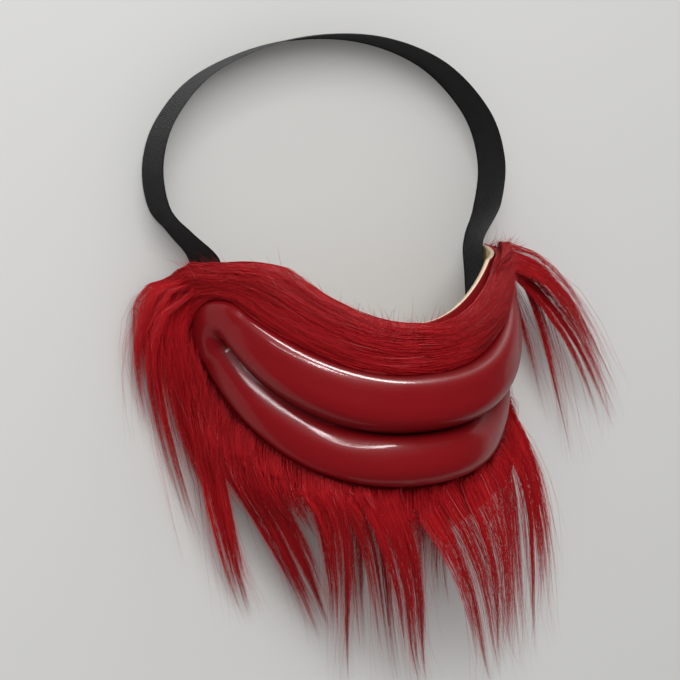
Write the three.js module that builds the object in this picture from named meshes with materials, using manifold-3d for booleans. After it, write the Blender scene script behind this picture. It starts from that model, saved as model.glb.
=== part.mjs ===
// A novelty half mask: a hollow latex casting with a giant grinning mouth, a strip of long red fake fur glued
// above the mouth, a second strip glued below it, and one black elastic strap.
// It lies on its rear rims as it would on a table, with the mouth facing up.
// Millimetres. +Z is the way the mouth faces, +Y is the wearer's up, +X is the wearer's left.

import * as THREE from "three";
import Module from "manifold-3d";
import { mergeVertices } from "three/addons/utils/BufferGeometryUtils.js";

const wasm = await Module();
wasm.setup();

// The latex wraps half a cylinder the size of a face, and its two rear rims are the cylinder's diameter.
const WRAP_RADIUS = 77;
const WALL = 2;
const QUARTER_TURN = Math.PI / 2;
const HALF_GIRTH = WRAP_RADIUS * QUARTER_TURN;

// Below the mouth the latex tucks in towards the chin.
const TUCK_START = -15;
const TUCK_RATE = 0.02;

// The cleft between the lips climbs as a power of the wrap angle: this is its rise at one radian.
const CLEFT_LOWEST = -1;
const CLEFT_RISE = 32;
const CLEFT_POWER = 2.3;
const CLEFT_END = THREE.MathUtils.degToRad(66);
const CLEFT_FLOOR = 1.2;

// Each lip is a tube beside the cleft. Its widths and heights run from mid mouth to the corners, and the
// lower lip is down to its last height well before them. The upper lip has a full shoulder towards the nose,
// and the lower one slopes evenly down into the cleft.
const UPPER_LIP_WIDTH = [26, 19];
const LOWER_LIP_WIDTH = [24, 19];
const UPPER_LIP_HEIGHT = [16.5, 10];
const LOWER_LIP_HEIGHT = [14, 5];
const LOWER_LIP_THINS_BY = THREE.MathUtils.degToRad(38);
const LIP_FULLNESS = 2.2;
const UPPER_LIP_SHOULDER = 3;

// The outline of the latex: its top edge dips under the nose, and its bottom edge runs round the jaw. The
// grid's columns from the upper lip reach the top edge over TOP_SPAN each way, and those from the corners the
// rest.
const TOP_AT_NOSE = 47;
const TOP_CLIMB = 33.5;
const TOP_CLIMB_END = THREE.MathUtils.degToRad(66);
const TOP_FALL = 5.5;
const BOTTOM_AT_CHIN = -37;
const BOTTOM_CLIMB = 42;
const BOTTOM_POWER = 1.5;
const CORNER_RADIUS = 10;
const TOP_SPAN = 58;

// The fur strips: the glue line, the thickness of the combed pile, and how far the pile hangs past the latex.
const GLUE_GAP = 0.4;
const LIP_GAP = 1.2;
const UPPER_PILE = 9;
const UPPER_OVERHANG = 1.5;
const LOWER_PILE = 7.5;
const LOWER_OVERHANG = 12;
const RIM_CLEARANCE = 3;

// Shares of the pile: the depth of its grooves, and its thickness beside the lip, near its far edge and at it.
const GROOVE_DEPTH = 0.3;
const PILE_AT_LIP = 0.8;
const PILE_NEAR_EDGE = 0.75;
const PILE_AT_EDGE = 0.17;

// The strips meet at this share of the way round each corner of the mouth, with a gap either side of it.
const STRIPS_MEET = 0.62;
const STRIP_GAP = 0.012;

// A lock is a flattened strand: its thickness and the height of its root are shares of the pile. It narrows
// to a blunt tip, and sags on its way there.
const LOCK_THICKNESS = 0.85;
const LOCK_ROOT = 0.6;
const LOCK_TAPER = 0.88;
const LOCK_TAPER_POWER = 1.35;
const LOCK_TIP_THICKNESS = 0.3;
const LOCK_SAG = 0.35;

// The strap: a woven elastic band that stands on its edge.
const STRAP_WIDTH = 25;
const STRAP_THICKNESS = 1.5;
const STRAP_STEPS = 60;

// How finely each surface is divided.
const LIP_COLUMNS = 26;
const CORNER_COLUMNS = 12;
const LIP_STEPS = [0, 0.05, 0.15, 0.3, 0.46, 0.62, 0.77, 0.89, 0.96, 1];
const SHEET_STEPS = [0.35, 0.7, 1];
const PILE_STEPS = [0.85, 0.7, 0.55, 0.4, 0.25, 0.1];
const LOCK_SIDES = 6;
const LOCK_STEPS = 8;

const LATEX_RED = new THREE.MeshStandardMaterial({ color: 0x9c1418, roughness: 0.25, metalness: 0 });
const FUR_RED = new THREE.MeshStandardMaterial({ color: 0xb0161f, roughness: 0.6, metalness: 0 });
const BLACK_ELASTIC = new THREE.MeshStandardMaterial({ color: 0x15161a, roughness: 0.85, metalness: 0 });

// The upper strip is combed out to the sides, and its ends fall in long tufts. Each lock has its root's angle
// round the face in degrees, its distance in from the latex edge, and the place on the table of its tip. Arch
// is how far it springs out from the face first, and sweep is the way it is combed meanwhile.
const UPPER_LOCKS = [
  { angle: -82, inset: 14, tip: [-76, -64], width: 20, arch: 12, sweep: [-17, -26] },
  { angle: -79, inset: 9, tip: [-97, -36], width: 18, arch: 14, sweep: [-17, -14] },
  { angle: 60, inset: 6, tip: [164, -34], width: 22, arch: 22, sweep: [34, 4] },
  { angle: 66, inset: 7, tip: [144, -42], width: 18, arch: 19, sweep: [30, 0] },
  { angle: 80, inset: 11, tip: [121, -28], width: 16, arch: 17, sweep: [20, -8] },
];

// The beard: long locks from below the mouth, from one ear round the chin to the other.
const LOWER_LOCKS = [
  { angle: -83, inset: 26, tip: [-64, -68], width: 16, arch: 6, sweep: [-8, -28] },
  { angle: -76, inset: 9, tip: [-54, -99], width: 20, arch: 5, sweep: [4, -26] },
  { angle: -60, inset: 6, tip: [-12, -134], width: 26, arch: 8, sweep: [6, -34] },
  { angle: -45, inset: 5, tip: [-5, -140], width: 28, arch: 11, sweep: [6, -38] },
  { angle: -30, inset: 4, tip: [2, -130], width: 28, arch: 13, sweep: [4, -36] },
  { angle: -16, inset: 4, tip: [28, -142], width: 26, arch: 13, sweep: [5, -36] },
  { angle: -3, inset: 4, tip: [40, -139], width: 24, arch: 13, sweep: [6, -36] },
  { angle: 9, inset: 4, tip: [64, -122], width: 22, arch: 14, sweep: [8, -36] },
  { angle: 21, inset: 4, tip: [90, -154], width: 28, arch: 13, sweep: [12, -42] },
  { angle: 36, inset: 5, tip: [104, -142], width: 28, arch: 12, sweep: [12, -38] },
  { angle: 52, inset: 6, tip: [113, -120], width: 26, arch: 10, sweep: [12, -32] },
  { angle: 70, inset: 8, tip: [110, -86], width: 20, arch: 7, sweep: [8, -24] },
];

// The strap's route in plan, from inside one wing round the back of the head to inside the other.
const STRAP_ROUTE = [
  [-71.2, 46],
  [-71.2, 62],
  [-71.6, 79],
  [-82.5, 92],
  [-92, 104],
  [-93.5, 124],
  [-85, 144],
  [-64, 163],
  [-26, 176],
  [16, 177],
  [52, 165],
  [76, 142],
  [84, 118],
  [80.5, 96],
  [71.6, 79],
  [71.2, 62],
  [71.2, 46],
];
// Inside the wings its top edge leans in by this much, and from one height on the face to the next it rights.
const WING_LEAN = 4.4;
const LEAN_ENDS = 80;
const UPRIGHT_FROM = 96;

const mix = (a, b, share) => a + (b - a) * share;
const between = (from, to, share) => [mix(from[0], to[0], share), mix(from[1], to[1], share)];

// A place on the wrapped face: girth is the distance round from the middle line, and lift stands out from it.
function onFace([girth, height], lift) {
  const tuck = TUCK_RATE * Math.max(0, TUCK_START - height) ** 2;
  const radius = WRAP_RADIUS - tuck + lift;
  const angle = girth / WRAP_RADIUS;
  return new THREE.Vector3(radius * Math.sin(angle), height, radius * Math.cos(angle));
}

function topEdge(girth) {
  const angle = Math.abs(girth) / WRAP_RADIUS;
  const climbed = Math.min(angle / TOP_CLIMB_END, 1);
  const past = Math.max(0, angle - TOP_CLIMB_END) / (QUARTER_TURN - TOP_CLIMB_END);
  return TOP_AT_NOSE + TOP_CLIMB * Math.sin(climbed * QUARTER_TURN) ** 2 - TOP_FALL * past ** 2;
}

function bottomEdge(girth) {
  return BOTTOM_AT_CHIN + BOTTOM_CLIMB * (Math.abs(girth) / HALF_GIRTH) ** BOTTOM_POWER;
}

// The outline of a wing: along the top edge, over a rounded corner, down the straight rear rim, and round to
// the bottom edge.
function wingOutline() {
  const inner = HALF_GIRTH - CORNER_RADIUS;
  const high = topEdge(HALF_GIRTH);
  const low = bottomEdge(HALF_GIRTH);
  const outline = new THREE.Path();
  outline.moveTo(TOP_SPAN, topEdge(TOP_SPAN));
  outline.lineTo(inner, topEdge(inner));
  outline.quadraticCurveTo(HALF_GIRTH, high, HALF_GIRTH, high - CORNER_RADIUS);
  outline.lineTo(HALF_GIRTH, low + CORNER_RADIUS);
  outline.quadraticCurveTo(HALF_GIRTH, low, inner, bottomEdge(inner));
  return outline;
}

const WING = wingOutline();

// One column of the mask's grid runs from the cleft, over a lip, to the latex edge. The place goes once round
// the mouth: 0 to 1 along the upper lip from the wearer's left, 1 to 2 round a corner, 2 to 3 back along the
// lower lip, and 3 to 4 round the other corner.
function column(place) {
  const section = Math.floor(place) % 4;
  const along = place - Math.floor(place);
  const corner = section % 2 === 1;
  const side = section === 1 ? -1 : 1;
  const sweep = section === 0 ? 1 - 2 * along : 2 * along - 1;
  const angle = CLEFT_END * (corner ? side : sweep);
  const out = Math.abs(angle);
  const spine = [WRAP_RADIUS * angle, CLEFT_LOWEST + CLEFT_RISE * out ** CLEFT_POWER];
  const steepness = (CLEFT_POWER * CLEFT_RISE * out ** (CLEFT_POWER - 1)) / WRAP_RADIUS;
  const slope = Math.atan(steepness) * Math.sign(angle);
  let turned = section === 0 ? 0 : 1;
  let edge = [];
  if (corner) {
    turned = side < 0 ? along : 1 - along;
    const point = WING.getPointAt(turned);
    edge = [side * point.x, point.y];
  } else if (section === 0) {
    edge = [sweep * TOP_SPAN, topEdge(sweep * TOP_SPAN)];
  } else {
    const girth = sweep * (HALF_GIRTH - CORNER_RADIUS);
    edge = [girth, bottomEdge(girth)];
  }
  const heading = slope + QUARTER_TURN - side * turned * Math.PI;
  const outwards = out / CLEFT_END;
  const thinned = Math.sin(Math.min(out / LOWER_LIP_THINS_BY, 1) * QUARTER_TURN) ** 2;
  const width = mix(mix(...UPPER_LIP_WIDTH, outwards ** 4), mix(...LOWER_LIP_WIDTH, outwards ** 2), turned);
  const height = mix(mix(...UPPER_LIP_HEIGHT, outwards ** 2), mix(...LOWER_LIP_HEIGHT, thinned), turned ** 3);
  const lip = [spine[0] + width * Math.cos(heading), spine[1] + width * Math.sin(heading)];
  return { spine, lip, edge, width, height, turned };
}

// The lip's height across its own width: 0 at both sides and 1 along its ridge. Turned is 0 on the upper lip
// and 1 on the lower one.
function tube(across, turned) {
  const fullness = across > 0.5 ? mix(UPPER_LIP_SHOULDER, LIP_FULLNESS, turned) : LIP_FULLNESS;
  const round = (1 - Math.abs(2 * across - 1) ** fullness) ** (1 / fullness);
  return mix(round, Math.sin(Math.PI * across), across < 0.5 ? turned : 0);
}

// Collects triangles that share their corners, and drops one that has closed to a line.
class Facets {
  points = [];
  index = [];
  seen = new Map();

  corner(v) {
    const key = [v.x, v.y, v.z].map((n) => Math.round(n * 1000)).join();
    if (!this.seen.has(key)) {
      this.seen.set(key, this.points.length / 3);
      this.points.push(v.x, v.y, v.z);
    }
    return this.seen.get(key);
  }

  triangle(...corners) {
    const ids = corners.map((v) => this.corner(v));
    if (new Set(ids).size === 3) this.index.push(...ids);
  }

  quad(a, b, c, d) {
    this.triangle(a, b, c);
    this.triangle(a, c, d);
  }

  geometry() {
    const made = new THREE.BufferGeometry();
    made.setAttribute("position", new THREE.Float32BufferAttribute(this.points, 3));
    made.setIndex(this.index);
    return made;
  }
}

// Joins a row of loops into one solid. Each end is closed by a zigzag between the loop's two sides.
function loft(loops) {
  const facets = new Facets();
  for (let row = 0; row < loops.length - 1; row++) {
    const here = loops[row];
    const next = loops[row + 1];
    here.forEach((point, i) => {
      const j = (i + 1) % here.length;
      facets.quad(point, next[i], next[j], here[j]);
    });
  }
  for (const [loop, first] of [[loops[0], true], [loops.at(-1), false]]) {
    for (let a = 0, b = loop.length - 1; b - a > 1; a++, b--) {
      const fan = [loop[a], loop[a + 1], loop[b - 1], loop[b]];
      facets.quad(...(first ? fan : fan.reverse()));
    }
  }
  return facets.geometry();
}

// The places of the grid's columns, shared by the latex and by the fur that lies on it.
const PLACES = [];
for (let section = 0; section < 4; section++) {
  const count = section % 2 ? CORNER_COLUMNS : LIP_COLUMNS;
  for (let i = 0; i < count; i++) PLACES.push(section + i / count);
}

function latexColumn(place) {
  const { spine, lip, edge, width, height, turned } = column(place);
  const outer = [];
  const inner = [];
  const wallShare = WALL / width;
  for (const across of LIP_STEPS) {
    const full = height * tube(across, turned);
    const lift = Math.max(CLEFT_FLOOR * (1 - across), full);
    const ends = across === 0 || across === 1;
    const within = ends ? across : mix(wallShare, 1 - wallShare, across);
    outer.push(onFace(between(spine, lip, across), lift));
    inner.push(onFace(between(spine, lip, within), full - WALL));
  }
  for (const share of SHEET_STEPS) {
    outer.push(onFace(between(lip, edge, share), 0));
    inner.push(onFace(between(lip, edge, share), -WALL));
  }
  return { outer, inner };
}

// The casting: an outer skin with the lips, an inner skin that follows it, and the cut edge between them.
function latexShell() {
  const facets = new Facets();
  const columns = PLACES.map(latexColumn);
  columns.forEach(({ outer, inner }, j) => {
    const next = columns[(j + 1) % columns.length];
    const rim = outer.length - 1;
    for (let i = 0; i < rim; i++) {
      facets.quad(outer[i], outer[i + 1], next.outer[i + 1], next.outer[i]);
      facets.quad(inner[i], next.inner[i], next.inner[i + 1], inner[i + 1]);
    }
    facets.quad(outer[rim], inner[rim], next.inner[rim], next.outer[rim]);
  });
  return facets.geometry();
}

// A closed mesh as a solid that can be joined, and a solid's mesh.
function solidOf(geometry) {
  const merged = mergeVertices(geometry, 1e-3);
  const vertProperties = merged.getAttribute("position").array;
  const triVerts = new Uint32Array(merged.index.array);
  return new wasm.Manifold(new wasm.Mesh({ numProp: 3, vertProperties, triVerts }));
}

function geometryOf(solid) {
  const mesh = solid.getMesh();
  const made = new THREE.BufferGeometry();
  made.setAttribute("position", new THREE.BufferAttribute(mesh.vertProperties, 3));
  made.setIndex(new THREE.BufferAttribute(mesh.triVerts, 1));
  return made;
}

// The combed pile has grooves between its locks: along the strip above the mouth, across it below.
const combedAcross = (place, share) => Math.abs(Math.sin(Math.PI * (2.5 * share + 1.7 * place)));
const combedDown = (place, share) => Math.abs(Math.sin(Math.PI * (4.5 * place + 0.6 * share)));

// One section of a strip: out along the glue line to the overhang, then back over the pile to the lip.
function stripSection(place, { pile, overhang, comb }) {
  const { lip, edge } = column(place);
  const reach = Math.hypot(edge[0] - lip[0], edge[1] - lip[1]);
  // Near a rear rim the pile stops short, so that the latex is what stands on the table.
  const rimStarts = HALF_GIRTH - CORNER_RADIUS;
  const toRim = THREE.MathUtils.smoothstep(Math.abs(edge[0]), rimStarts - 1.5 * CORNER_RADIUS, rimStarts);
  const start = LIP_GAP / reach;
  const end = 1 + mix(overhang, -RIM_CLEARANCE, toRim) / reach;
  const at = (share, lift) => onFace(between(lip, edge, share), lift);
  const top = (share, fullness) => {
    return at(share, pile * fullness * (1 - GROOVE_DEPTH * (1 - comb(place, share))));
  };
  return [
    at(start, GLUE_GAP),
    ...SHEET_STEPS.map((share) => at(Math.min(share, end), GLUE_GAP)),
    at(end, pile * PILE_AT_EDGE),
    top(mix(end, PILE_STEPS[0], 0.4), PILE_NEAR_EDGE),
    ...PILE_STEPS.map((share) => top(Math.min(share, end), 1)),
    top(start, PILE_AT_LIP),
  ];
}

// A lock springs from its root, arches over, and comes down until its tip lies on the table.
function furLock({ angle, inset, tip, width, arch, sweep }, { edge, inwards, pile }) {
  const girth = THREE.MathUtils.degToRad(angle) * WRAP_RADIUS;
  const height = edge(girth) + inwards * inset;
  const thick = pile * LOCK_THICKNESS;
  const start = onFace([girth, height], pile * LOCK_ROOT);
  const out = onFace([girth, height], pile).sub(start).normalize();
  const end = new THREE.Vector3(...tip, (thick / 2) * LOCK_TIP_THICKNESS);
  const first = start.clone().addScaledVector(out, arch).add(new THREE.Vector3(...sweep, 0));
  const second = end.clone().lerp(first, LOCK_SAG).setZ(thick);
  const path = new THREE.CubicBezierCurve3(start, first, second, end);
  const loops = [];
  for (let step = 0; step <= LOCK_STEPS; step++) {
    const share = step / LOCK_STEPS;
    const point = path.getPoint(share);
    const ahead = path.getTangent(share);
    const up = out.clone().lerp(new THREE.Vector3(0, 0, 1), share);
    const side = new THREE.Vector3().crossVectors(ahead, up).normalize();
    const over = new THREE.Vector3().crossVectors(side, ahead).normalize();
    const swell = Math.min(LOCK_ROOT + 2 * share, 1);
    const narrowed = swell * (1 - LOCK_TAPER * share ** LOCK_TAPER_POWER);
    const loop = [];
    for (let i = 0; i < LOCK_SIDES; i++) {
      const turn = (2 * Math.PI * i) / LOCK_SIDES;
      const corner = point.clone();
      corner.addScaledVector(side, (width / 2) * narrowed * Math.cos(turn));
      corner.addScaledVector(over, (thick / 2) * Math.max(narrowed, LOCK_TIP_THICKNESS) * Math.sin(turn));
      corner.z = Math.max(corner.z, 0);
      loop.push(corner);
    }
    loops.push(loop);
  }
  return loft(loops);
}

// A strip runs along one side of the mouth, and meets the other strip at the sides.
function furStrip(first, last, locks, cut) {
  const from = first + STRIP_GAP;
  const to = last - STRIP_GAP;
  const spare = STRIP_GAP / 2;
  const twice = [...PLACES, ...PLACES.map((place) => place + 4)];
  const places = [from, ...twice.filter((place) => place > from + spare && place < to - spare), to];
  const band = solidOf(loft(places.map((place) => stripSection(place, cut))));
  return geometryOf(locks.reduce((strip, lock) => strip.add(solidOf(furLock(lock, cut))), band));
}

const UPPER_CUT = {
  pile: UPPER_PILE,
  overhang: UPPER_OVERHANG,
  comb: combedAcross,
  edge: topEdge,
  inwards: -1,
};
const LOWER_CUT = {
  pile: LOWER_PILE,
  overhang: LOWER_OVERHANG,
  comb: combedDown,
  edge: bottomEdge,
  inwards: 1,
};

// The strap leans against the latex inside the wings, and stands upright round the loop.
function strap() {
  const path = new THREE.SplineCurve(STRAP_ROUTE.map(([x, y]) => new THREE.Vector2(x, y)));
  const loops = [];
  for (let step = 0; step <= STRAP_STEPS; step++) {
    const point = path.getPointAt(step / STRAP_STEPS);
    const ahead = path.getTangentAt(step / STRAP_STEPS);
    const upright = THREE.MathUtils.smoothstep(point.y, LEAN_ENDS, UPRIGHT_FROM);
    const lean = (Math.sign(point.x) * WING_LEAN * (1 - upright)) / 2;
    const corner = (face, top) => {
      const off = (face * STRAP_THICKNESS) / 2;
      const x = point.x - ahead.y * off + (top ? -lean : lean);
      return new THREE.Vector3(x, point.y + ahead.x * off, top ? STRAP_WIDTH : 0);
    };
    loops.push([corner(1, false), corner(-1, false), corner(-1, true), corner(1, true)]);
  }
  return loft(loops);
}

function part(name, geometry, material) {
  const mesh = new THREE.Mesh(geometry, material);
  mesh.name = name;
  return mesh;
}

const mask = new THREE.Group();
mask.add(part("latex_shell", latexShell(), LATEX_RED));
mask.add(part("upper_fur", furStrip(4 - STRIPS_MEET, 5 + STRIPS_MEET, UPPER_LOCKS, UPPER_CUT), FUR_RED));
mask.add(part("lower_fur", furStrip(1 + STRIPS_MEET, 4 - STRIPS_MEET, LOWER_LOCKS, LOWER_CUT), FUR_RED));
mask.add(part("elastic_strap", strap(), BLACK_ELASTIC));

// The origin is the middle of the whole object's footprint, on the table.
const middle = new THREE.Box3().setFromObject(mask).getCenter(new THREE.Vector3());
mask.position.set(-middle.x, -middle.y, 0);

export default mask;
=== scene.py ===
# %% [markdown]
# # A latex mask with giant lips, red fake fur and an elastic strap
#
# The mask is a thin rubber casting that covers the lower half of a face. Its mouth is a pair of hollow glossy
# lips, a strip of long red fake fur is glued above them and another below, and one black elastic band goes
# round the head. It lies on its rear rims on a table, with the mouth facing up.
#
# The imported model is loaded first. Everything after it is built around that model, in metres and in the same
# frame, so nothing has to be fitted later.

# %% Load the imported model
import math

import bmesh
import bpy
import numpy as np
from mathutils import Matrix, Vector


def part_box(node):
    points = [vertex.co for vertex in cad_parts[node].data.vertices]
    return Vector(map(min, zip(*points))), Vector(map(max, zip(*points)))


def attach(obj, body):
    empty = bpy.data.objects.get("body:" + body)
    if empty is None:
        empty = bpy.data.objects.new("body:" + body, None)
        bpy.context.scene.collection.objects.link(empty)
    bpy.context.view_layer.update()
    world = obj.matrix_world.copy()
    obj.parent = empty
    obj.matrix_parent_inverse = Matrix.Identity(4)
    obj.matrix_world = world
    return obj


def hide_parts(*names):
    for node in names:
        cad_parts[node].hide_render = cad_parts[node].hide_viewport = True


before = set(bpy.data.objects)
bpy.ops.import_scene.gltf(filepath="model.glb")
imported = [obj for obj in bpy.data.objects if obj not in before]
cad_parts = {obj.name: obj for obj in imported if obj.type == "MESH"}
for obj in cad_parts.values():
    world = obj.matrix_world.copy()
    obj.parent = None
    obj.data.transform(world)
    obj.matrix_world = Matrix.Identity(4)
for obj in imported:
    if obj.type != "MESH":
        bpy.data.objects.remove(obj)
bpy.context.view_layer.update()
print("nodes:", sorted(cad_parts))

# %% [markdown]
# ## The face that the mask wraps
#
# The casting wraps half a cylinder as wide as a face. It is easiest to think of it as a flat sheet with two
# directions, the girth round the face and the height up it, and to bend that sheet once at the end. One
# function does the bending for every piece, so the fur follows the latex that it is glued to.

# %% Bend a flat place onto the face
WRAP_RADIUS = 0.077
HALF_GIRTH = WRAP_RADIUS * math.pi / 2
TUCK_START = -0.015
TUCK_RATE = 20
BOTTOM_AT_CHIN = -0.037

shell_low, shell_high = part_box("latex_shell")
MIDDLE_X = (shell_low.x + shell_high.x) / 2
MOUTH_Y = shell_low.y - BOTTOM_AT_CHIN


def on_face(girth, height, lift):
    """Places on the wrapped face. The lift stands out from it, and below the mouth it tucks in."""
    tuck = TUCK_RATE * np.maximum(0, TUCK_START - height) ** 2
    radius = WRAP_RADIUS - tuck + lift
    angle = girth / WRAP_RADIUS
    across = MIDDLE_X + radius * np.sin(angle)
    return np.stack([across, MOUTH_Y + height + 0 * radius, radius * np.cos(angle)], axis=-1)


def off_face(places):
    """The girth and height that lie under places near the face."""
    girth = np.arctan2(places[..., 0] - MIDDLE_X, places[..., 2]) * WRAP_RADIUS
    return girth, places[..., 1] - MOUTH_Y


print("the mouth's middle is at", round(MIDDLE_X, 4), round(MOUTH_Y, 4))

# %% [markdown]
# ## The mouth's own directions
#
# The lips and both fur strips run round the mouth, so a second pair of directions helps: the place goes once
# round the mouth, and the share goes out from the lip to the edge of the latex. The place runs from 0 to 1
# along the upper lip from the wearer's left, from 1 to 2 round a corner, back along the lower lip, and from 3
# to 4 round the other corner.

# %% Where each column of the mask runs
CLEFT_LOWEST = -0.001
CLEFT_RISE = 0.032
CLEFT_POWER = 2.3
CLEFT_END = math.radians(66)
CLEFT_FLOOR = 0.0012
UPPER_LIP_WIDTH = (0.026, 0.019)
LOWER_LIP_WIDTH = (0.024, 0.019)
UPPER_LIP_HEIGHT = (0.0165, 0.010)
LOWER_LIP_HEIGHT = (0.014, 0.005)
LOWER_LIP_THINS_BY = math.radians(38)
TOP_AT_NOSE = 0.047
TOP_CLIMB = 0.0335
TOP_CLIMB_END = math.radians(66)
TOP_FALL = 0.0055
BOTTOM_CLIMB = 0.042
BOTTOM_POWER = 1.5
CORNER_RADIUS = 0.010
TOP_SPAN = 0.058


def mix(a, b, share):
    return a + (b - a) * share


def top_edge(girth):
    angle = np.abs(girth) / WRAP_RADIUS
    climbed = np.minimum(angle / TOP_CLIMB_END, 1)
    past = np.maximum(0, angle - TOP_CLIMB_END) / (math.pi / 2 - TOP_CLIMB_END)
    return TOP_AT_NOSE + TOP_CLIMB * np.sin(climbed * math.pi / 2) ** 2 - TOP_FALL * past**2


def bottom_edge(girth):
    return BOTTOM_AT_CHIN + BOTTOM_CLIMB * (np.abs(girth) / HALF_GIRTH) ** BOTTOM_POWER


def wing_outline(steps=40):
    """The outline of a wing in even steps: over its rounded top corner, down the rear rim, round below."""
    inner = HALF_GIRTH - CORNER_RADIUS
    high, low = top_edge(HALF_GIRTH), bottom_edge(HALF_GIRTH)
    bend = np.linspace(0, 1, steps)[:, None]

    def corner(start, control, end):
        start, control, end = map(np.array, (start, control, end))
        return start * (1 - bend) ** 2 + control * 2 * bend * (1 - bend) + end * bend**2

    outline = np.concatenate([
        [[TOP_SPAN, top_edge(TOP_SPAN)]],
        corner((inner, top_edge(inner)), (HALF_GIRTH, high), (HALF_GIRTH, high - CORNER_RADIUS)),
        corner((HALF_GIRTH, low + CORNER_RADIUS), (HALF_GIRTH, low), (inner, bottom_edge(inner))),
    ])
    run = np.concatenate([[0], np.cumsum(np.linalg.norm(np.diff(outline, axis=0), axis=1))])
    return run / run[-1], outline


WING_RUN, WING = wing_outline()


def column(place):
    """One column: its place in the cleft, at the lip's outer side and at the latex edge, the lip's height
    there, and how far it has turned from the upper lip to the lower one."""
    section, along = int(place) % 4, place - int(place)
    corner = section % 2 == 1
    side = -1 if section == 1 else 1
    sweep = 1 - 2 * along if section == 0 else 2 * along - 1
    angle = CLEFT_END * (side if corner else sweep)
    out = abs(angle)
    spine = np.array([WRAP_RADIUS * angle, CLEFT_LOWEST + CLEFT_RISE * out**CLEFT_POWER])
    steepness = CLEFT_POWER * CLEFT_RISE * out ** (CLEFT_POWER - 1) / WRAP_RADIUS
    slope = math.copysign(math.atan(steepness), angle)
    if corner:
        turned = along if side < 0 else 1 - along
        edge = (side * np.interp(turned, WING_RUN, WING[:, 0]), np.interp(turned, WING_RUN, WING[:, 1]))
    elif section == 0:
        turned = 0
        edge = (sweep * TOP_SPAN, top_edge(sweep * TOP_SPAN))
    else:
        turned = 1
        girth = sweep * (HALF_GIRTH - CORNER_RADIUS)
        edge = (girth, bottom_edge(girth))
    heading = slope + math.pi / 2 - side * turned * math.pi
    outwards = out / CLEFT_END
    thinned = math.sin(min(out / LOWER_LIP_THINS_BY, 1) * math.pi / 2) ** 2
    width = mix(mix(*UPPER_LIP_WIDTH, outwards**4), mix(*LOWER_LIP_WIDTH, outwards**2), turned)
    height = mix(mix(*UPPER_LIP_HEIGHT, outwards**2), mix(*LOWER_LIP_HEIGHT, thinned), turned**3)
    lip = spine + width * np.array([math.cos(heading), math.sin(heading)])
    return spine, lip, np.array(edge), height, turned


COLUMNS_PER_SIDE = 80
PLACES = np.linspace(0, 4, 4 * COLUMNS_PER_SIDE + 1)
COLUMNS = [column(place % 4) for place in PLACES]
LIPS, EDGES = (np.array([made[part] for made in COLUMNS]) for part in (1, 2))


def along_mouth(rows, place):
    """One of the rows above, read at any places round the mouth."""
    place = np.mod(place, 4)
    return np.stack([np.interp(place, PLACES, rows[:, axis]) for axis in (0, 1)], axis=-1)


def on_strip(place, share):
    """The girth and height of places on the sheet between the lip and the edge of the latex."""
    flat = mix(along_mouth(LIPS, place), along_mouth(EDGES, place), np.asarray(share)[..., None])
    return flat[..., 0], flat[..., 1]


print("the casting is", round(2 * HALF_GIRTH, 3), "m round the face, in", len(PLACES), "columns")

# %% [markdown]
# ## The camera
#
# The camera looks from the wearer's right and from a little above the mouth, as it does in the photograph.
# There the mask is worn, and here it lies on its back, so the same view looks down on it. The lens is a long
# one, which keeps the lips from bulging at the middle.

# %% The camera
CAMERA_TURN = math.radians(28)
CAMERA_TILT = math.radians(-5)
CAMERA_ROLL = math.radians(3)
CAMERA_OFFSET = (-0.0365, 0.0396, 0.8)
SENSOR_MM = 36
LENS_MM = 95.7


def add_camera():
    data = bpy.data.cameras.new("camera")
    data.sensor_width = SENSOR_MM
    data.lens = LENS_MM
    camera = bpy.data.objects.new("camera", data)
    bpy.context.scene.collection.objects.link(camera)
    turned = Matrix.Rotation(-CAMERA_TURN, 4, "Y")
    turned = turned @ Matrix.Rotation(CAMERA_TILT, 4, "X") @ Matrix.Rotation(-CAMERA_ROLL, 4, "Z")
    mouth = Vector((MIDDLE_X, MOUTH_Y, WRAP_RADIUS))
    camera.matrix_world = Matrix.Translation(mouth) @ turned @ Matrix.Translation(CAMERA_OFFSET)
    bpy.context.scene.camera = camera
    return camera


camera = add_camera()
print("the camera is at", [round(n, 3) for n in camera.matrix_world.translation])

# %% [markdown]
# ## Materials as sums
#
# A finish is a small network of nodes. Written node by node it is long and hard to read, so this class wraps
# a socket and lets ordinary sums add the Math nodes: `0.7 + 0.1 * grain` is two nodes. Every other node comes
# from one method, which sets the node's options first and then its sockets. The kinds that come back in many
# finishes, such as noise and a ramp of colours, have short methods of their own.

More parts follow.
